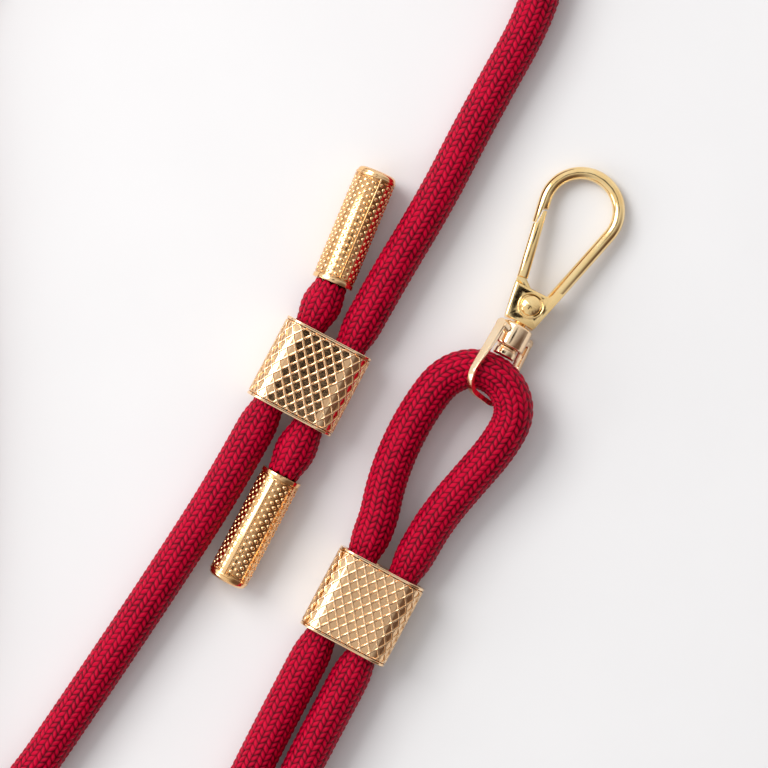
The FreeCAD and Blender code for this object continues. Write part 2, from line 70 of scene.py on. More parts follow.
@dataclass(frozen=True)
class Place:
    """A piece's own frame: Y runs along the lanyard, X across it and Z away from the table.

    Attributes:
        origin: the frame's origin, in metres.
        across: unit vector of the frame's X axis.
        along: unit vector of the frame's Y axis.
    """

    origin: Vector
    across: Vector
    along: Vector

    @property
    def matrix(self) -> Matrix:
        """The frame as a matrix that takes its coordinates to the object's."""
        up = self.across.cross(self.along)
        turn = Matrix((self.across, self.along, up)).transposed().to_4x4()
        return Matrix.Translation(self.origin) @ turn

    def at(self, x: float, y: float, z: float = 0.0) -> Vector:
        """A point given in the frame, in metres."""
        return self.matrix @ Vector((x, y, z))

    def beside(self, x: float, y: float, height: float) -> Vector:
        """A point given in the frame but at its own height off the table, in metres."""
        point = self.at(x, y)
        point.z = height
        return point


def middle_of(node: str) -> Vector:
    """The middle of a CAD node's box."""
    low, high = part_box(node)
    return (Vector(low) + Vector(high)) / 2


LINE = Vector(JOINTS["adjuster_slide"]["axis"]).normalized()
ACROSS = Vector((LINE.y, -LINE.x, 0.0))
ADJUSTER = Place(middle_of("adjuster_slider"), ACROSS, LINE)
KEEPER = Place(middle_of("keeper_slider"), ACROSS, LINE)
SWIVEL = JOINTS["hook_swivel"]
HOOK = Place(Vector(SWIVEL["pos_m"]), ACROSS, Vector(SWIVEL["axis"]).normalized())


# ---- working by hand


def deselect_all() -> None:
    """Leave nothing selected and no piece active."""
    bpy.ops.object.select_all(action="DESELECT")
    bpy.context.view_layer.objects.active = None


def take_up(piece: Piece) -> Piece:
    """Select one piece alone and make it active."""
    deselect_all()
    piece.select_set(True)
    bpy.context.view_layer.objects.active = piece
    return piece


def switch_to(mode: str) -> None:
    """Switch the active piece to EDIT or OBJECT mode."""
    bpy.ops.object.mode_set(mode=mode)


def added(name: str) -> Piece:
    """Name the primitive that was just added."""
    piece = bpy.context.active_object
    piece.name = name
    piece.data.name = name
    return piece


def new_object(name: str, data: bpy.types.ID) -> Piece:
    """Make an object of the given data and put it in the scene."""
    item = bpy.data.objects.new(name, data)
    bpy.context.scene.collection.objects.link(item)
    return item


def settle(piece: Piece, place: Optional[Matrix] = None) -> Piece:
    """Apply a piece's own turn and size, then put its mesh where it belongs.

    Args:
        piece: the piece to settle.
        place: takes the piece's coordinates to the object's.

    Returns:
        The same piece, its object at the origin, unturned and unscaled.
    """
    take_up(piece)
    bpy.ops.object.transform_apply(location=True, rotation=True, scale=True)
    if place is not None:
        piece.data.transform(place)
    return piece


def modify(piece: Piece, kind: str, **settings: object) -> Piece:
    """Add a modifier with the given settings and apply it."""
    take_up(piece)
    modifier = piece.modifiers.new(kind.title(), kind)
    for name, value in settings.items():
        setattr(modifier, name, value)
    bpy.ops.object.modifier_apply(modifier=modifier.name)
    return piece


def round_edges(piece: Piece, width: float, segments: int, angle: float = SHARP) -> Piece:
    """Round the edges whose faces meet at more than the angle, in radians."""
    return modify(
        piece, "BEVEL", width=width, segments=segments, limit_method="ANGLE", angle_limit=angle
    )


def merge_with(piece: Piece, other: Piece, how: str) -> Piece:
    """Apply a boolean with another piece and delete that piece.

    Args:
        piece: the piece that is kept.
        other: the piece that is joined to it or cut from it.
        how: UNION or DIFFERENCE.

    Returns:
        The kept piece.
    """
    modify(piece, "BOOLEAN", object=other, operation=how, solver="EXACT")
    bpy.data.objects.remove(other)
    return piece


def join(pieces: Sequence[Piece], name: str) -> Piece:
    """Join pieces into the first one and give it a name."""
    deselect_all()
    for piece in pieces:
        piece.select_set(True)
    bpy.context.view_layer.objects.active = pieces[0]
    bpy.ops.object.join()
    return added(name)


def pick_faces(piece: Piece, wanted: Callable[[Face], bool]) -> None:
    """Select, in edit mode, the faces that pass the test."""
    bpy.ops.mesh.select_mode(type="FACE")
    mesh = bmesh.from_edit_mesh(piece.data)
    for face in mesh.faces:
        face.select_set(wanted(face))
    bmesh.update_edit_mesh(piece.data)


def pick_edges(piece: Piece, wanted: Callable[[Edge], bool]) -> None:
    """Select, in edit mode, the edges that pass the test."""
    bpy.ops.mesh.select_mode(type="EDGE")
    bpy.ops.mesh.select_all(action="DESELECT")
    mesh = bmesh.from_edit_mesh(piece.data)
    for edge in mesh.edges:
        if wanted(edge):
            edge.select_set(True)
    bmesh.update_edit_mesh(piece.data)


def is_sharp(edge: Edge) -> bool:
    """True if an edge's two faces meet at a clear corner."""
    return len(edge.link_faces) == 2 and edge.calc_face_angle(0.0) > SHARP


def smooth(piece: Piece, degrees: float = 35.0) -> Piece:
    """Shade a piece smooth, with edges sharper than the angle left crisp."""
    take_up(piece)
    bpy.ops.object.shade_smooth_by_angle(angle=math.radians(degrees))
    return piece


def rod(name: str, radius: float, start: Vector, end: Vector, sides: int = 48) -> Piece:
    """A plain cylinder between two points, as a tool for cutting."""
    deselect_all()
    bpy.ops.mesh.primitive_cylinder_add(
        vertices=sides, radius=radius, depth=(end - start).length, location=(start + end) / 2
    )
    piece = added(name)
    piece.rotation_euler = (end - start).to_track_quat("Z", "Y").to_euler()
    return settle(piece)


# ---- finishes


class Nodes:
    """A small helper that adds and links shader nodes."""

    def __init__(self, tree: bpy.types.NodeTree) -> None:
        """Keep the tree that nodes are added to."""
        self.tree = tree

    def add(self, kind: str, **settings: object) -> bpy.types.Node:
        """Add a node and set its properties."""
        node = self.tree.nodes.new(kind)
        for name, value in settings.items():
            setattr(node, name, value)
        return node

    def math(self, operation: str, *inputs: object, clamp: bool = False) -> Socket:
        """Add a Math node whose inputs are numbers or sockets, and return its result."""
        node = self.add("ShaderNodeMath", operation=operation, use_clamp=clamp)
        for socket, value in zip(node.inputs, inputs):
            self.feed(socket, value)
        return node.outputs[0]

    def feed(self, socket: Socket, value: object) -> None:
        """Set a socket to a value, or link it to another socket."""
        if isinstance(value, Socket):
            self.tree.links.new(value, socket)
        else:
            socket.default_value = value

    def ramp(self, factor: object, stops: Sequence[tuple[float, tuple]]) -> Socket:
        """Add a colour ramp with the given stops and return its colour."""
        node = self.add("ShaderNodeValToRGB")
        elements = node.color_ramp.elements
        while len(elements) < len(stops):
            elements.new(0.5)
        for element, (position, colour) in zip(elements, stops):
            element.position = position
            element.color = (*colour, 1.0)
        self.feed(node.inputs["Fac"], factor)
        return node.outputs["Color"]

    def mix(self, factor: object, one: object, two: object) -> Socket:
        """Add a colour mix and return its colour."""
        node = self.add("ShaderNodeMix", data_type="RGBA")
        for index, value in ((0, factor), (6, one), (7, two)):
            self.feed(node.inputs[index], value)
        return node.outputs[2]

    def noise(self, vector: object, scale: float, detail: float = 3.0) -> Socket:
        """Add a noise texture and return its value."""
        node = self.add("ShaderNodeTexNoise")
        node.inputs["Scale"].default_value = scale
        node.inputs["Detail"].default_value = detail
        self.feed(node.inputs["Vector"], vector)
        return node.outputs["Fac"]

    def bump(self, height: object, strength: float, distance: float) -> Socket:
        """Add a Bump node and return its normal."""
        node = self.add("ShaderNodeBump")
        node.inputs["Strength"].default_value = strength
        node.inputs["Distance"].default_value = distance
        self.feed(node.inputs["Height"], height)
        return node.outputs["Normal"]


def fresh_material(name: str) -> tuple[Material, Nodes, bpy.types.Node]:
    """Make a material and return it with its node helper and its main shader."""
    material = bpy.data.materials.new(name)
    material.use_nodes = True
    nodes = Nodes(material.node_tree)
    return material, nodes, material.node_tree.nodes["Principled BSDF"]


@dataclass(frozen=True)
class Plating:
    """Polished gold plating on a zinc casting.

    Attributes:
        name: the material's name.
        bright: colour of the plating where it is thickest.
        deep: colour where it is thinner and warmer.
        roughness: how far reflections spread.
        ripple: depth of the casting's faint waves, in metres.
        painted_hollow_shade: colour of the painted shade that darkens a pattern's hollows, if it
            has one.
    """

    name: str
    bright: tuple[float, float, float]
    deep: tuple[float, float, float]
    roughness: float
    ripple: float = 0.00002
    painted_hollow_shade: Optional[tuple[float, float, float]] = None

    def material(self) -> Material:
        """Build the plating: tone drifts slowly, polish varies finely, the cast skin ripples."""
        material, nodes, shader = fresh_material(self.name)
        where = nodes.add("ShaderNodeTexCoord").outputs["Object"]
        drift = nodes.noise(where, 260.0, 2.0)
        grain = nodes.noise(where, 2600.0, 4.0)
        colour = nodes.ramp(drift, [(0.32, self.deep), (0.68, self.bright)])
        if self.painted_hollow_shade is not None:
            # Painted shade: hollows, found by pointiness, are darkened towards the shade colour.
            hollow = nodes.add("ShaderNodeNewGeometry").outputs["Pointiness"]
            outside_hollow_shade = nodes.math("MULTIPLY_ADD", hollow, 16.0, -7.0, clamp=True)
            colour = nodes.mix(outside_hollow_shade, (*self.painted_hollow_shade, 1.0), colour)
        polish = nodes.math("MULTIPLY_ADD", grain, 0.14, self.roughness - 0.07)
        skin = nodes.math("MULTIPLY_ADD", drift, 3.0, grain)
        nodes.feed(shader.inputs["Base Color"], colour)
        nodes.feed(shader.inputs["Roughness"], polish)
        nodes.feed(shader.inputs["Normal"], nodes.bump(skin, 0.25, self.ripple))
        shader.inputs["Metallic"].default_value = 1.0
        return material


@dataclass(frozen=True)
class BraidFinish:
    """Wine-red braided yarn, read from the cord's own column and stitch coordinates.

    Attributes:
        name: the material's name.
        crown: colour on top of a stitch.
        painted_valley_shade: colour between stitches, painted shade in the creases.
        fibres: yarn fibres across one stitch.
    """

    name: str
    crown: tuple[float, float, float]
    painted_valley_shade: tuple[float, float, float]
    fibres: float = 5.0

    def material(self) -> Material:
        """Build the yarn: valleys darker than crowns as painted shade, each stitch its own tone,
        fine fibres.
        """
        material, nodes, shader = fresh_material(self.name)
        layout = nodes.add("ShaderNodeUVMap", uv_map=BraidedCord.LAYOUT)
        split = nodes.add("ShaderNodeSeparateXYZ")
        nodes.feed(split.inputs[0], layout.outputs["UV"])
        column, stitch = split.outputs["X"], split.outputs["Y"]
        across = nodes.math("FRACT", column)
        along = nodes.math("FRACT", stitch)
        crest_across = nodes.math("SINE", nodes.math("MULTIPLY", across, math.pi))
        crest_along = nodes.math("SINE", nodes.math("MULTIPLY", along, math.pi))
        crest = nodes.math("MULTIPLY", crest_across, crest_along)
        crown = nodes.math("POWER", nodes.math("MAXIMUM", crest, 0.0), 0.55)
        cell = nodes.add("ShaderNodeCombineXYZ")
        nodes.feed(cell.inputs["X"], nodes.math("FLOOR", column))
        nodes.feed(cell.inputs["Y"], nodes.math("FLOOR", stitch))
        tone = nodes.add("ShaderNodeTexWhiteNoise", noise_dimensions="2D")
        nodes.feed(tone.inputs["Vector"], cell.outputs[0])
        shade = nodes.math("MULTIPLY_ADD", tone.outputs["Value"], 0.28, -0.14)
        level = nodes.math("ADD", crown, shade, clamp=True)
        # Painted shade: the colour falls from the crown colour to the dark valley colour as the
        # stitch's crest falls away.
        colour = nodes.ramp(level, [(0.12, self.painted_valley_shade), (0.85, self.crown)])
        slant = nodes.math("MULTIPLY_ADD", along, 0.6, across)
        fibre = nodes.math("SINE", nodes.math("MULTIPLY", slant, 2 * math.pi * self.fibres))
        where = nodes.add("ShaderNodeTexCoord").outputs["Object"]
        fuzz = nodes.noise(where, 5200.0, 3.0)
        relief = nodes.math("MULTIPLY_ADD", fibre, 0.25, nodes.math("ADD", crown, fuzz))
        nodes.feed(shader.inputs["Base Color"], colour)
        nodes.feed(shader.inputs["Normal"], nodes.bump(relief, 0.5, 0.00012))
        nodes.feed(shader.inputs["Roughness"], nodes.math("MULTIPLY_ADD", fuzz, 0.16, 0.3))
        shader.inputs["Sheen Weight"].default_value = 0.03
        shader.inputs["Sheen Roughness"].default_value = 0.4
        shader.inputs["Sheen Tint"].default_value = (1.0, 0.1, 0.3, 1.0)
        shader.inputs["IOR"].default_value = 1.28
        shader.inputs["Specular IOR Level"].default_value = 0.5
        shader.inputs["Specular Tint"].default_value = (1.0, 0.35, 0.5, 1.0)
        return material


@dataclass(frozen=True)
class PlainFinish:
    """A matt surface with a faint grain, for the table top."""

    name: str
    colour: tuple[float, float, float]
    roughness: float

    def material(self) -> Material:
        """Build the surface from one colour with a slight mottling."""
        material, nodes, shader = fresh_material(self.name)
        where = nodes.add("ShaderNodeTexCoord").outputs["Object"]
        grain = nodes.noise(where, 40.0, 4.0)
        darker = tuple(0.985 * value for value in self.colour)
        mottle = nodes.ramp(grain, [(0.3, darker), (0.7, self.colour)])
        nodes.feed(shader.inputs["Base Color"], mottle)
        shader.inputs["Roughness"].default_value = self.roughness
        return material


YELLOW_GOLD = Plating("yellow gold plating", (1.0, 0.76, 0.39), (0.97, 0.67, 0.29), 0.10)
PALE_GOLD = Plating("pale gold plating", (1.0, 0.79, 0.55), (0.98, 0.71, 0.45), 0.14)
# The rose and warm platings carry painted shade in their patterns' hollows.
ROSE_GOLD = Plating(
    "pale rose gold plating", (1.0, 0.73, 0.46), (0.96, 0.64, 0.36), 0.09,
    painted_hollow_shade=(0.80, 0.51, 0.28),
)
WARM_GOLD = Plating(
    "warm gold plating", (1.0, 0.69, 0.38), (0.98, 0.59, 0.26), 0.15,
    painted_hollow_shade=(0.42, 0.17, 0.04),
)
SPRING_WIRE = Plating("bright spring wire", (0.62, 0.61, 0.58), (0.5, 0.49, 0.47), 0.25)
# The braid's second colour is painted shade for the creases between stitches.
WINE_BRAID = BraidFinish("wine-red braid", (0.52, 0.0002, 0.027), (0.048, 0.0001, 0.002))
TABLE_TOP = PlainFinish("pale table top", (0.80, 0.80, 0.815), 0.6)


def dress(piece: Piece, material: Material) -> None:
    """Give a piece one material and no other."""
    piece.data.materials.clear()
    piece.data.materials.append(material)


# ---- studio


@dataclass
class Studio:
    """The pale table, the soft light and the camera straight above.

    Attributes:
        aim: the point of the table in the middle of the view, in metres.
        view_width: how much of the table the view takes in, in metres.
        height: the camera's height over the table.
        sensor: width of the camera's sensor, in millimetres.
    """

    aim: Vector = field(default_factory=lambda: Vector((-0.0075, 0.0066, 0.005)))
    view_width: float = 0.1575
    height: float = 0.8
    sensor: float = 36.0

    def build_camera(self) -> None:
        """Stand the camera over the table, looking straight down with +Y up in the view."""
        data = bpy.data.cameras.new("overhead")
        data.sensor_width = self.sensor
        data.lens = self.sensor * (self.height - self.aim.z) / self.view_width
        data.clip_start = 0.05
        camera = new_object("overhead", data)
        camera.location = (self.aim.x, self.aim.y, self.height)
        bpy.context.scene.camera = camera

    def build_table(self) -> None:
        """Lay the table top, with its edge far outside the view."""
        deselect_all()
        bpy.ops.mesh.primitive_plane_add(size=6.0, location=(0.0, 0.0, -0.0002))
        table = settle(added("table_top"))
        modify(table, "SOLIDIFY", thickness=0.02, offset=-1.0)
        dress(table, TABLE_TOP.material())

    def lamp(self, name: str, spot: Vector, size: float, power: float, tint: tuple) -> None:
        """Hang a square soft light that faces the object."""
        data = bpy.data.lights.new(name, "AREA")
        data.size = size
        data.energy = power
        data.color = tint
        lamp = new_object(name, data)
        lamp.location = spot
        lamp.rotation_euler = (Vector() - spot).to_track_quat("-Z", "Y").to_euler()

    def build_light(self) -> None:
        """Key from the upper left, a weak window, a room with a dark side and two dark spots."""
        self.lamp("key", Vector((-0.75, 0.62, 0.95)), 0.75, 13.0, (1.0, 0.985, 0.96))
        self.lamp("window", Vector((-0.95, -0.15, 0.35)), 0.4, 2.0, (1.0, 1.0, 1.0))
        world = bpy.data.worlds.new("room")
        bpy.context.scene.world = world
        world.use_nodes = True
        nodes = Nodes(world.node_tree)
        background = world.node_tree.nodes["Background"]
        direction = nodes.add("ShaderNodeTexCoord").outputs["Generated"]
        dark_side = self._towards(nodes, direction, Vector((0.62, -0.62, 0.48)))
        shades = ((0.0, (1.0, 1.0, 1.0)), (0.6, (0.80, 0.79, 0.785)), (0.92, (0.16, 0.11, 0.09)))
        room = nodes.ramp(dark_side, shades)
        overhead = self._spot(nodes, direction, Vector((-0.02, 0.055, 1.0)), 4.7)
        onlooker = self._spot(nodes, direction, Vector((0.115, 0.20, 0.976)), 6.5)
        spots = nodes.math("MAXIMUM", overhead, onlooker)
        colour = nodes.mix(spots, room, (0.012, 0.008, 0.006, 1.0))
        nodes.feed(background.inputs["Color"], colour)
        background.inputs["Strength"].default_value = 0.89

    def _spot(self, nodes: Nodes, direction: Socket, way: Vector, spread: float) -> Socket:
        """A soft-edged dark spot of the room: 1 inside the spread in degrees, 0 outside."""
        inner = math.cos(math.radians(spread - 0.6))
        outer = math.cos(math.radians(spread + 0.6))
        reach = nodes.math("SUBTRACT", self._towards(nodes, direction, way), outer)
        return nodes.math("DIVIDE", reach, inner - outer, clamp=True)

    @staticmethod
    def _towards(nodes: Nodes, direction: Socket, way: Vector) -> Socket:
        """How nearly a direction points a given way, from -1 to 1."""
        dot = nodes.add("ShaderNodeVectorMath", operation="DOT_PRODUCT")
        nodes.feed(dot.inputs[0], direction)
        dot.inputs[1].default_value = way.normalized()
        return dot.outputs["Value"]


# ---- cord


def strand_route(points: Sequence[Vector], order: int = 3) -> list[Vector]:
    """The smooth line that a cord takes through its control points.

    Args:
        points: the route's control points, in metres.
        order: the spline's order.

    Returns:
        Closely spaced points along the smooth line.
    """
    data = bpy.data.curves.new("route", "CURVE")
    data.dimensions = "3D"
    data.resolution_u = 48
    spline = data.splines.new("NURBS")
    spline.points.add(len(points) - 1)
    for knot, point in zip(spline.points, points):
        knot.co = (*point, 1.0)
    spline.order_u = order
    spline.use_endpoint_u = True
    curve = new_object("route", data)
    bpy.context.view_layer.update()
    mesh = bpy.data.meshes.new_from_object(curve)
    line = [vertex.co.copy() for vertex in mesh.vertices]
    bpy.data.objects.remove(curve)
    bpy.data.meshes.remove(mesh)
    return line


def evenly(line: Sequence[Vector], step: float) -> tuple[list[Vector], float]:
    """Points at even steps along a line.

    Args:
        line: points of the line in order.
        step: the wanted distance between points, in metres.

    Returns:
        The new points, and the line's whole length.
    """
    reach = [0.0]
    for one, two in zip(line, line[1:]):
        reach.append(reach[-1] + (two - one).length)
    count = max(2, round(reach[-1] / step))
    points, i = [], 0
    for k in range(count + 1):
        wanted = reach[-1] * k / count
        while i < len(line) - 2 and reach[i + 1] < wanted:
            i += 1
        gap = max(reach[i + 1] - reach[i], 1e-12)
        points.append(line[i].lerp(line[i + 1], min(1.0, (wanted - reach[i]) / gap)))
    return points, reach[-1]


@dataclass
class BraidedCord:
    """One length of the round cord, with its herringbone braid as real relief.

    Attributes:
        name: the piece's name.
        node: the CAD node that it replaces.
        route: control points of its line, in metres.
        squeezed_at: places where a metal mouth nips the cord, in metres.
        swollen_at: places where the cord bulges between two mouths, in metres.
        columns: columns of stitches round the cord.
        stitch: length of one stitch.
        relief: depth of the braid.
        loft: how far the braid stands out past the cord's own radius.
        nip: share of the radius that a mouth takes away.
        nip_width: how far a nip or a swelling reaches along the cord.
        swelling: share of the radius that a bulge adds.
    """

    name: str
    node: str
    route: list[Vector]
    squeezed_at: list[Vector]
    swollen_at: list[Vector]
    diameter: float = 0.008
    columns: int = 20
    stitch: float = 0.00138
    relief: float = 0.00030
    loft: float = 0.00014
    nip: float = 0.19
    nip_width: float = 0.0030
    swelling: float = 0.045
    LAYOUT = "braid"
    STEPS = 3  # rows and files of points in one stitch
    LEAN = 0.75  # how far a stitch slants, as a share of its length
    CREST = (-0.75, 0.0, -0.12)  # height of each row of a stitch, as a share of the relief
    SEAM = -0.55  # and of the line between two columns

    def build(self, material: Material) -> Piece:
        """Args:
            material: the braid's finish.

        Returns:
            The finished cord.
        """
        line, length = evenly(strand_route(self.route), self.stitch / self.STEPS)
        piece = self._mesh(line)
        dress(piece, material)
        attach(piece, "cord")
        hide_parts(self.node)
        path = evenly(line, 0.002)[0]
        LOG.info("%s: %.0f mm", self.name, length * 1000)
        return piece

    def _frames(self, line: Sequence[Vector]) -> Iterator[tuple[Vector, Vector, Vector]]:
        """Each point of the line with two directions across it that don't twist."""
        ahead = (line[1] - line[0]).normalized()
        side = ahead.cross(Vector((0, 0, 1))).normalized()
        last = len(line) - 1
        for i, point in enumerate(line):
            ahead = (line[min(i + 1, last)] - line[max(i - 1, 0)]).normalized()
            side = (side - ahead * side.dot(ahead)).normalized()
            yield point, side, side.cross(ahead)

    def _thickness(self, point: Vector) -> float:
        """The cord's radius at a point, less where a mouth nips it."""
        radius = self.diameter / 2 + self.loft
        for mouth in self.squeezed_at:
            away = (point - mouth).length / self.nip_width
            radius *= 1.0 - self.nip * math.exp(-away * away)
        for middle in self.swollen_at:
            away = (point - middle).length / self.nip_width
            radius *= 1.0 + self.swelling * math.exp(-away * away)
        return radius

    def _mesh(self, line: list[Vector]) -> Piece:
        """The braid's skin: slanted stitches in columns that lean left and right by turns."""
        around = self.columns * self.STEPS
        stations = list(self._frames(line))
        last = len(stations) - 1
        vertices, faces, layout = [], [], []
        slope = self.LEAN * self.STEPS
        for row, (point, side, up) in enumerate(stations):
            radius = self._thickness(point)
            crest_row = self.CREST[row % self.STEPS]
            for file in range(around):
                turn = 2 * math.pi * file / around
                part = file % self.STEPS / self.STEPS
                column = file // self.STEPS
                shift = slope * (part if column % 2 == 0 else 1.0 - part)
                spot = min(max(row + shift - slope / 2, 0.0), float(last))
                low = min(int(spot), last - 1)
                rest = spot - low
                here = [one.lerp(two, rest) for one, two in zip(stations[low], stations[low + 1])]
                crest = crest_row + (self.SEAM if part == 0 else 0.0)
                out = radius + self.relief * max(crest, -1.0)
                way = here[1] * math.cos(turn) + here[2] * math.sin(turn)
                vertices.append(here[0] + way * out)
        rows = len(stations)
        for row in range(rows - 1):
            for file in range(around):
                beside = (file + 1) % around
                this, following = row * around, (row + 1) * around
                faces.append((this + file, this + beside, following + beside, following + file))
                left, right = file / self.STEPS, (file + 1) / self.STEPS
                low, high = row / self.STEPS, (row + 1) / self.STEPS
                layout += [(left, low), (right, low), (right, high), (left, high)]
        faces.append(tuple(reversed(range(around))))
        faces.append(tuple(range((rows - 1) * around, rows * around)))
        layout += [(0.0, 0.0)] * (2 * around)
        mesh = bpy.data.meshes.new(self.name)
        mesh.from_pydata(vertices, [], faces)
        uv = mesh.uv_layers.new(name=self.LAYOUT)
        for loop, place in zip(uv.data, layout):
            loop.uv = place
        mesh.polygons.foreach_set("use_smooth", [True] * len(mesh.polygons))
        mesh.update()
        piece = new_object(self.name, mesh)
        if self._inside_out(mesh):
            mesh.flip_normals()
        return piece

    @staticmethod
    def _inside_out(mesh: bpy.types.Mesh) -> bool:
        """True if the skin's faces point inwards."""
        shape = bmesh.new()
        shape.from_mesh(mesh)
        volume = shape.calc_volume(signed=True)
        shape.free()
        return volume < 0


FLAT = 0.00402  # the cord's middle where it lies on the table
LIFTED = 0.00525  # and where a slider holds it
LEFT, RIGHT = -0.0046, 0.0046  # a slider's two channels
MOUTH = 0.009  # a slider's mouths, from its middle


def lying(*spots: tuple[float, float]) -> list[Vector]:
    """Points of the cord's middle where it lies on the table at the given places."""
    return [Vector((x, y, FLAT)) for x, y in spots]


@dataclass
class CordSet:
    """The whole cord, as three lengths that meet inside the keeper's channels."""

    upper_mouth: Vector
    lower_mouth: Vector

    def adjuster_run(self) -> list[Vector]:
        """From the upper ferrule through the adjuster and round to the keeper."""
        return [
            self.upper_mouth,
            ADJUSTER.at(LEFT, 0.0164),
            ADJUSTER.beside(LEFT, -0.024, LIFTED),
            ADJUSTER.beside(-0.00675, -0.050, 0.0043),
            ADJUSTER.beside(-0.0099, -0.080, FLAT),
            *lying(
                (-0.083, -0.078), (-0.0985, -0.0915), (-0.103, -0.110), (-0.0925, -0.126),
                (-0.0735, -0.1305), (-0.0565, -0.1195), (-0.0445, -0.0935),
            ),
            KEEPER.beside(LEFT, -0.036, LIFTED),
            KEEPER.at(LEFT, 0.0),
        ]

    def bight(self) -> list[Vector]:
        """From the keeper round through the swivel eye and back."""
        spots = (
            (LEFT, 0.0145, LIFTED), (-0.0076, 0.0245, 0.0055), (-0.0087, 0.0335, 0.0058),
            (-0.0085, 0.042, 0.00615), (-0.0072, 0.0498, 0.0064), (-0.0024, 0.0544, 0.0066),
            (0.0043, 0.0544, 0.00685), (0.0094, 0.0497, 0.0069), (0.0093, 0.042, 0.0064),
            (0.0074, 0.0338, 0.0058), (0.0056, 0.026, 0.0055), (RIGHT, 0.018, LIFTED),
        )
        ring = [KEEPER.beside(*spot) for spot in spots]
        return [KEEPER.at(LEFT, 0.0), *ring, KEEPER.at(RIGHT, 0.0)]

    def neck_run(self) -> list[Vector]:
        """From the keeper round the neck and through the adjuster to the lower ferrule."""
        return [
            KEEPER.at(RIGHT, 0.0),
            KEEPER.beside(RIGHT, -0.020, LIFTED),
            KEEPER.beside(RIGHT, -0.041, LIFTED),
            *lying(
                (-0.0325, -0.098), (-0.047, -0.125), (-0.069, -0.1405), (-0.096, -0.137),
                (-0.112, -0.115), (-0.108, -0.084), (-0.0985, -0.045), (-0.096, 0.005),
                (-0.0985, 0.052), (-0.1015, 0.084), (-0.088, 0.108), (-0.060, 0.1105),
                (-0.022, 0.1145), (0.010, 0.1175), (0.0258, 0.1055), (0.0266, 0.0875),
            ),
            ADJUSTER.beside(0.0056, 0.062, FLAT),
            ADJUSTER.beside(0.006, 0.045, 0.0042),
            ADJUSTER.beside(RIGHT, 0.020, LIFTED),
            ADJUSTER.at(RIGHT, -0.0179),
            self.lower_mouth,
        ]

    def build(self) -> None:
        """Model the three lengths."""
        braid = WINE_BRAID.material()
        corners = [(x, y) for x in (LEFT, RIGHT) for y in (-MOUTH, MOUTH)]
        nips = [place.at(*corner) for place in (ADJUSTER, KEEPER) for corner in corners]
        nips += [self.upper_mouth, self.lower_mouth]
        barrels = [
            (ADJUSTER.at(LEFT, MOUTH) + self.upper_mouth) / 2,
            (ADJUSTER.at(RIGHT, -MOUTH) + self.lower_mouth) / 2,
        ]
        for name, route in (
            ("cord_adjuster_run", self.adjuster_run()),
            ("cord_bight", self.bight()),
            ("cord_neck_run", self.neck_run()),
        ):
            BraidedCord("braided_" + name, name, route, nips, barrels).build(braid)


# ---- metal work


@dataclass(frozen=True)
class Cast:
    """What a finished metal piece stands for.

    Attributes:
        node: the CAD node that the piece replaces.
        body: the CAD body that it moves with.
        slot: the material slot that it takes its finish from; not used.
    """

    node: str
    body: str
    slot: str

    def finish(self, piece: Piece, material: Material) -> None:
        self.add_detail(piece, material)
        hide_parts(self.node)
        LOG.info("%s: %d faces", piece.name, len(piece.data.polygons))

    def add_detail(self, piece: Piece, material: Material) -> None:
        """Dress a detail that sits on the piece and moves with it."""
        dress(piece, material)
        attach(piece, self.body)


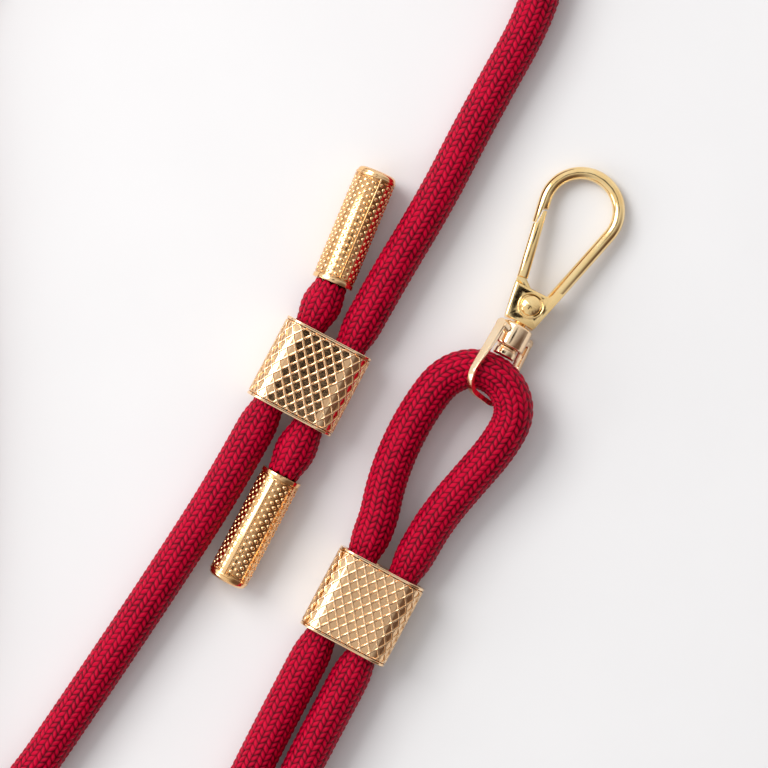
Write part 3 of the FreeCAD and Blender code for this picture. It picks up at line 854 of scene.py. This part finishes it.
@dataclass(frozen=True)
class Lattice:
    """A skin of diamonds wrapped round a piece, each one sunk or raised by insets.

    Attributes:
        count: diamonds round the piece.
        pitch: length of one diamond along the piece.
        low: where the skin starts along the piece.
        high: where it ends.
        round_about: the developed width, once round the piece.
        steps: thickness and depth of each inset, from the diamond's edge inwards.
        rounded: whether the diamonds are domed rather than flat-bottomed.
    """

    count: int
    pitch: float
    low: float
    high: float
    round_about: float
    steps: tuple[tuple[float, float], ...]
    rounded: bool = True

    def build(self, name: str, wrap: Callable[[float], tuple[float, float]]) -> Piece:
        """Model the skin.

        Args:
            name: the skin's name.
            wrap: takes a distance round the piece to X and Z.

        Returns:
            The skin, in the piece's own frame.
        """
        skin = self._flat(name)
        for vertex in skin.data.vertices:
            x, z = wrap(vertex.co.x)
            vertex.co = Vector((x, vertex.co.y, z))
        take_up(skin)
        switch_to("EDIT")
        bpy.ops.mesh.select_all(action="SELECT")
        bpy.ops.mesh.remove_doubles(threshold=0.00001)
        seam = Vector(wrap(self.round_about / 2))
        pick_edges(
            skin,
            lambda edge: len(edge.link_faces) == 2
            and all((Vector((v.co.x, v.co.z)) - seam).length < 0.00002 for v in edge.verts),
        )
        bpy.ops.mesh.dissolve_edges()
        self._face_outwards(skin)
        bpy.ops.mesh.select_mode(type="FACE")
        bpy.ops.mesh.select_all(action="SELECT")
        for thickness, depth in self.steps:
            bpy.ops.mesh.inset(use_individual=True, thickness=thickness, depth=depth)
        switch_to("OBJECT")
        if self.rounded:
            modify(skin, "SUBSURF", levels=1, render_levels=1)
            return smooth(skin, 60.0)
        return smooth(skin, 46.0)

    def _flat(self, name: str) -> Piece:
        """The lattice laid flat: a grid turned on its corner, stretched and trimmed."""
        cells = 2 * math.ceil((self.count + (self.high - self.low) / self.pitch) / 2) + 2
        deselect_all()
        bpy.ops.mesh.primitive_grid_add(x_subdivisions=cells, y_subdivisions=cells, size=cells)
        skin = added(name)
        skin.rotation_euler.z = math.radians(45)
        settle(skin)
        skin.scale = (self.round_about / self.count / math.sqrt(2), self.pitch / math.sqrt(2), 1.0)
        skin.location.y = (self.low + self.high) / 2
        settle(skin)
        half = self.round_about / 2
        switch_to("EDIT")
        for spot, way in (
            ((-half, 0, 0), (-1, 0, 0)),
            ((half, 0, 0), (1, 0, 0)),
            ((0, self.low, 0), (0, -1, 0)),
            ((0, self.high, 0), (0, 1, 0)),
        ):
            bpy.ops.mesh.select_all(action="SELECT")
            bpy.ops.mesh.bisect(
                plane_co=spot, plane_no=way, clear_outer=True, threshold=0.000001
            )
        switch_to("OBJECT")
        return skin

    @staticmethod
    def _face_outwards(skin: Piece) -> None:
        """Turn the skin's faces away from the piece's axis if they point at it."""
        mesh = bmesh.from_edit_mesh(skin.data)
        mesh.normal_update()
        lean = 0.0
        for face in mesh.faces:
            middle = face.calc_center_median()
            lean += face.normal.x * middle.x + face.normal.z * middle.z
        if lean < 0:
            bpy.ops.mesh.select_all(action="SELECT")
            bpy.ops.mesh.flip_normals()


@dataclass
class Slider:
    """A two-channel slider with a sunk diamond lattice between plain rims.

    Attributes:
        name: the piece's name.
        cast: what it stands for.
        place: its own frame.
        corner: radius of its long edges.
        channel: width of each channel.
        groove: depth of the band that the lattice lies in.
        rim: width of the plain rims.
    """

    name: str
    cast: Cast
    place: Place
    width: float = 0.0194
    length: float = 0.018
    height: float = 0.0105
    corner: float = 0.0041
    channel: float = 0.0085
    groove: float = 0.00032
    rim: float = 0.0006

    def build(self, material: Material) -> None:
        piece = join([self._core(), self._skin()], self.name)
        piece.data.transform(self.place.matrix)
        self.cast.finish(piece, material)

    def _core(self) -> Piece:
        """The solid body: rounded corners, a groove inside each rim and two channels."""
        deselect_all()
        bpy.ops.mesh.primitive_cube_add(size=1.0)
        core = added(self.name + "_core")
        core.scale = (self.width, self.length, self.height)
        settle(core)
        switch_to("EDIT")
        half = self.length / 2
        pick_edges(core, lambda edge: abs(edge.verts[0].co.y - edge.verts[1].co.y) > half)
        bpy.ops.mesh.bevel(offset=self.corner, segments=12)
        band = half - self.rim
        for y in (-band, band):
            bpy.ops.mesh.select_all(action="SELECT")
            bpy.ops.mesh.bisect(plane_co=(0, y, 0), plane_no=(0, 1, 0))
        pick_faces(
            core,
            lambda face: abs(face.normal.y) < 0.5 and abs(face.calc_center_median().y) < band / 2,
        )
        bpy.ops.mesh.extrude_region_shrink_fatten(
            TRANSFORM_OT_shrink_fatten={"value": -self.groove, "use_even_offset": True}
        )
        switch_to("OBJECT")
        reach = self.length
        for x in (LEFT, RIGHT):
            bore = rod("bore", self.channel / 2, Vector((x, -reach, 0)), Vector((x, reach, 0)))
            merge_with(core, bore, "DIFFERENCE")
        return smooth(round_edges(core, 0.00022, 3))

    def _skin(self) -> Piece:
        """The diamond lattice, wrapped round the rounded-rectangle section."""
        flat_x, flat_z = self.width - 2 * self.corner, self.height - 2 * self.corner
        turn = math.pi / 2 * self.corner
        around = 2 * (flat_x + flat_z) + 4 * turn
        edge = self.length / 2 - self.rim - 0.00018
        lattice = Lattice(
            count=23, pitch=0.0030, low=-edge, high=edge, round_about=around,
            steps=((0.00005, 0.0), (0.00008, -0.00004), (0.00007, -0.00010), (0.00005, -0.00016)),
            rounded=False,
        )
        return lattice.build(self.name + "_skin", lambda s: self._section(s, flat_x, flat_z, turn))

    def _section(self, s: float, flat_x: float, flat_z: float, turn: float) -> tuple[float, float]:
        """A point of the section, at a distance round it from the middle of the top."""
        side = 1.0 if s >= 0 else -1.0
        left = abs(s)
        x, z = flat_x / 2, self.height / 2
        if left <= x:
            return side * left, z
        left -= x
        if left <= turn:
            angle = left / self.corner
            return (
                side * (x + self.corner * math.sin(angle)),
                flat_z / 2 + self.corner * math.cos(angle),
            )
        left -= turn
        if left <= flat_z:
            return side * self.width / 2, flat_z / 2 - left
        left -= flat_z
        if left <= turn:
            angle = left / self.corner
            return (
                side * (x + self.corner * math.cos(angle)),
                -flat_z / 2 - self.corner * math.sin(angle),
            )
        return side * (x - (left - turn)), -z


@dataclass
class Ferrule:
    """A closed cap on a cord's end, cast all over in scales with one plain line along it.

    Attributes:
        name: the piece's name.
        cast: what it stands for.
        bend: the cord's last bend before the mouth.
        angle: the way the cap points, in degrees about Z from +Y.
        strip: width of the plain line.
        strip_turn: where the line is, in degrees round the cap from its top.
        bore: radius of the hole for the cord.
        end_round: rounding of the closed end.
        dip: how far the closed end points down, in degrees.
        cord_run: distance from the bend to the mouth.
        relief: how far the bands stand out from the core.
    """

    name: str
    cast: Cast
    bend: Vector
    angle: float
    strip: float
    strip_turn: float
    length: float = 0.0247
    radius: float = 0.00435
    bore: float = 0.0032
    bore_depth: float = 0.009
    end_round: float = 0.0009
    dip: float = 1.75
    cord_run: float = 0.0026
    relief: float = 0.00022
    MOUTH_BAND = 0.0009  # width of the band round the mouth
    END_RIM = (0.0016, 0.0011)  # the thin rim's two edges, from the closed end

    @property
    def place(self) -> Place:
        """The cap's own frame, with its mouth at the origin."""
        turn = Matrix.Rotation(math.radians(self.angle), 3, "Z")
        turn = turn @ Matrix.Rotation(math.radians(-self.dip), 3, "X")
        across, along = turn @ Vector((1, 0, 0)), turn @ Vector((0, 1, 0))
        return Place(self.bend + along * self.cord_run, across, along)

    @property
    def mouth(self) -> Vector:
        """The middle of the cap's mouth."""
        return self.place.origin

    def build(self, material: Material) -> None:
        piece = join([self._core(), self._scales(), self._strip()], self.name)
        piece.data.transform(self.place.matrix)
        self.cast.finish(piece, material)

    def _core(self) -> Piece:
        """The plain cap: a bored cylinder with a rounded end and a band round its mouth."""
        low = self.radius - self.relief
        deselect_all()
        bpy.ops.mesh.primitive_cylinder_add(
            vertices=56, radius=low, depth=self.length,
            location=(0, self.length / 2, 0), rotation=(math.radians(-90), 0, 0),
        )
        core = settle(added(self.name + "_core"))
        switch_to("EDIT")
        pick_edges(core, lambda edge: all(v.co.y > self.length * 0.99 for v in edge.verts))
        bpy.ops.mesh.bevel(offset=self.end_round, segments=6)
        pick_faces(core, lambda face: face.normal.y < -0.9)
        bpy.ops.mesh.inset(thickness=low - self.bore)
        bpy.ops.mesh.extrude_region_move(
            TRANSFORM_OT_translate={"value": (0, self.bore_depth, 0)}
        )
        for y in (self.MOUTH_BAND, *(self.length - edge for edge in self.END_RIM)):
            bpy.ops.mesh.select_all(action="SELECT")
            bpy.ops.mesh.bisect(plane_co=(0, y, 0), plane_no=(0, 1, 0))
        pick_faces(core, self._on_a_band)
        bpy.ops.mesh.extrude_region_shrink_fatten(
            TRANSFORM_OT_shrink_fatten={"value": self.relief}
        )
        switch_to("OBJECT")
        return smooth(round_edges(core, 0.00008, 2))

    def _on_a_band(self, face: Face) -> bool:
        """True for the outer faces of the mouth band and of the thin rim near the end."""
        middle = face.calc_center_median()
        outer = math.hypot(middle.x, middle.z) > self.radius - 2 * self.relief
        at_mouth = middle.y < self.MOUTH_BAND
        at_end = self.length - self.END_RIM[0] < middle.y < self.length - self.END_RIM[1]
        return outer and abs(face.normal.y) < 0.3 and (at_mouth or at_end)

    def _scales(self) -> Piece:
        """Staggered raised scales, fourteen round the cap."""
        base = self.radius - self.relief * 1.25
        lattice = Lattice(
            count=14, pitch=0.00155, low=0.00105, high=self.length - 0.0017,
            round_about=2 * math.pi * base,
            steps=((0.00006, 0.0), (0.00007, 0.00016), (0.00012, 0.00011), (0.00015, 0.00005)),
        )
        return lattice.build(
            self.name + "_scales", lambda s: (base * math.sin(s / base), base * math.cos(s / base))
        )

    def _strip(self) -> Piece:
        """The plain raised line along the cap."""
        run = self.length - 0.0028
        deselect_all()
        bpy.ops.mesh.primitive_cube_add(size=1.0, location=(0, self.length / 2, 0))
        strip = added(self.name + "_strip")
        strip.scale = (self.strip, run, 0.0007)
        strip.location.z = self.radius - 0.00027
        settle(strip)
        switch_to("EDIT")
        pick_edges(strip, lambda edge: all(v.co.z > self.radius - 0.0001 for v in edge.verts))
        bpy.ops.mesh.bevel(offset=min(self.strip / 3, 0.0001), segments=3)
        switch_to("OBJECT")
        strip.data.transform(Matrix.Rotation(math.radians(self.strip_turn), 4, "Y"))
        return smooth(strip)


def refined_copy(
    node: str,
    name: str,
    edge: float,
    segments: int = 3,
    softer: Optional[Callable[[Edge], bool]] = None,
    softness: float = 0.0,
) -> Piece:
    """Copy a CAD node's mesh, tidy it and round its sharp edges.

    Args:
        node: the CAD node to copy.
        name: the copy's name.
        edge: radius of the rounding.
        segments: facets across the rounding.
        softer: picks the edges that are rounded first, and more.
        softness: radius of their rounding.

    Returns:
        The copy, in place.
    """
    piece = new_object(name, bpy.data.objects[node].data.copy())
    take_up(piece)
    switch_to("EDIT")
    bpy.ops.mesh.select_all(action="SELECT")
    bpy.ops.mesh.remove_doubles(threshold=0.000002)
    bpy.ops.mesh.dissolve_limited(angle_limit=math.radians(0.6))
    if softer is not None:
        pick_edges(piece, softer)
        bpy.ops.mesh.bevel(offset=softness, segments=5, clamp_overlap=True)
    switch_to("OBJECT")
    return smooth(round_edges(piece, edge, segments, math.radians(38)), 40.0)


@dataclass
class SnapHook:
    """The swivel snap hook: frame, gate, rivets and spring.

    Attributes:
        place: the hook's own frame.
        rivet: the gate rivet's centre, across and along the hook.
        face: height of the block's face over the hook's middle.
        collar: radius of the ring round the rivet's head.
    """

    place: Place = HOOK
    rivet: tuple[float, float] = (0.00027, 0.00804)
    face: float = 0.0022
    collar: float = 0.00258

    def build(self) -> None:
        gold = YELLOW_GOLD.material()
        frame_cast = Cast("hook_frame", "hook", "hook_gold")
        frame_cast.finish(
            refined_copy("hook_frame", "hook_frame_polished", 0.0001, 2, self._block_edge, 0.0004),
            gold,
        )
        gate_cast = Cast("gate", "gate", "hook_gold")
        gate_cast.finish(
            refined_copy("gate", "gate_polished", 0.0001, 2, self._bar_edge, 0.00085), gold
        )
        rivet_cast = Cast("gate_rivet", "hook", "hook_gold")
        rivet_cast.finish(refined_copy("gate_rivet", "gate_rivet_polished", 0.00008), gold)
        frame_cast.add_detail(self._collar(), gold)
        spring = bpy.data.objects["gate_spring"]
        spring.material_slots[0].material = SPRING_WIRE.material()

    def _on_hook(self, edge: Edge) -> tuple[Vector, Vector]:
        """An edge's two ends in the hook's own frame."""
        home = self.place.matrix.inverted()
        return home @ edge.verts[0].co, home @ edge.verts[1].co

    def _block_edge(self, edge: Edge) -> bool:
        """True for the long edges round the block's two faces."""
        one, two = self._on_hook(edge)
        on_face = abs(abs(one.z) - self.face) < 0.00004 and abs(abs(two.z) - self.face) < 0.00004
        low = max(one.y, two.y) < 0.0125
        return on_face and low and edge.calc_length() > 0.0015 and is_sharp(edge)

    def _bar_edge(self, edge: Edge) -> bool:
        """True for the four long edges of the gate's bar."""
        one, two = self._on_hook(edge)
        return abs(one.y - two.y) > 0.005 and is_sharp(edge)

    def _collar(self) -> Piece:
        """The raised ring round the rivet's head."""
        deselect_all()
        bpy.ops.mesh.primitive_torus_add(
            major_radius=self.collar, minor_radius=0.0002, major_segments=72, minor_segments=12,
            location=(*self.rivet, self.face),
        )
        return smooth(settle(added("rivet_collar"), self.place.matrix), 60.0)


@dataclass
class SwivelEye:
    """The strap eye that the cord runs through, with the rivet that it swivels on.

    Attributes:
        place: the hook's own frame, which the rivet turns in.
        punch: the punched dot in the rivet's head, across and along the hook.
        head: height of the rivet's head over the hook's middle.
        ring_turn: the way that the strap's width points, in degrees about Y from Z.
        shoulder: where the strap starts to narrow, back from the frame's origin.
        foot: where it stops.
        narrowing: share of the strap's width that is gone at the foot.
    """

    place: Place = HOOK
    punch: tuple[float, float] = (-0.0004, -0.003)
    punch_radius: float = 0.00036
    head: float = 0.00245
    ring_turn: float = 52.0
    shoulder: float = 0.001
    foot: float = 0.0115
    narrowing: float = 0.42

    def build(self) -> None:
        gold = PALE_GOLD.material()
        eye = refined_copy("swivel_eye", "swivel_eye_polished", 0.00034, 4)
        self._taper(eye)
        Cast("swivel_eye", "eye", "eye_gold").finish(eye, gold)
        rivet = refined_copy("swivel_rivet", "swivel_rivet_polished", 0.00014)
        top = self.place.at(*self.punch, self.head + 0.0004)
        bottom = self.place.at(*self.punch, self.head - 0.00045)
        merge_with(rivet, rod("punch", self.punch_radius, bottom, top, 20), "DIFFERENCE")
        Cast("swivel_rivet", "hook", "eye_gold").finish(rivet, gold)

    def _taper(self, eye: Piece) -> None:
        """Narrow the ring's strap smoothly from its shoulders down to its foot."""
        home = self.place.matrix.inverted()
        turn = math.radians(self.ring_turn)
        face = Vector((math.sin(turn), 0.0, math.cos(turn)))
        for vertex in eye.data.vertices:
            spot = home @ vertex.co
            share = min(max((-spot.y - self.shoulder) / (self.foot - self.shoulder), 0.0), 1.0)
            ease = share * share * (3 - 2 * share)
            spot -= face * (spot.dot(face) * self.narrowing * ease)
            vertex.co = self.place.matrix @ spot


UPPER = Ferrule(
    "scaled_ferrule_upper", Cast("ferrule_upper", "cord", "ferrule_gold"),
    ADJUSTER.at(LEFT, 0.0164), -22.6, 0.00034, 17.0,
)
LOWER = Ferrule(
    "scaled_ferrule_lower", Cast("ferrule_lower", "cord", "ferrule_gold"),
    ADJUSTER.at(RIGHT, -0.0179), 152.0, 0.0009, 17.0,
)


def main() -> None:
    """Build the studio and the lanyard."""
    bpy.context.scene.view_settings.view_transform = "Standard"
    studio = Studio()
    studio.build_camera()
    CordSet(UPPER.mouth, LOWER.mouth).build()
    warm = WARM_GOLD.material()
    UPPER.build(warm)
    LOWER.build(warm)
    rose = ROSE_GOLD.material()
    for body, place in (("adjuster", ADJUSTER), ("keeper", KEEPER)):
        Slider(body + "_lattice", Cast(body + "_slider", body, "slider_gold"), place).build(rose)
    SnapHook().build()
    SwivelEye().build()
    studio.build_table()
    studio.build_light()


if __name__ == "__main__":
    main()
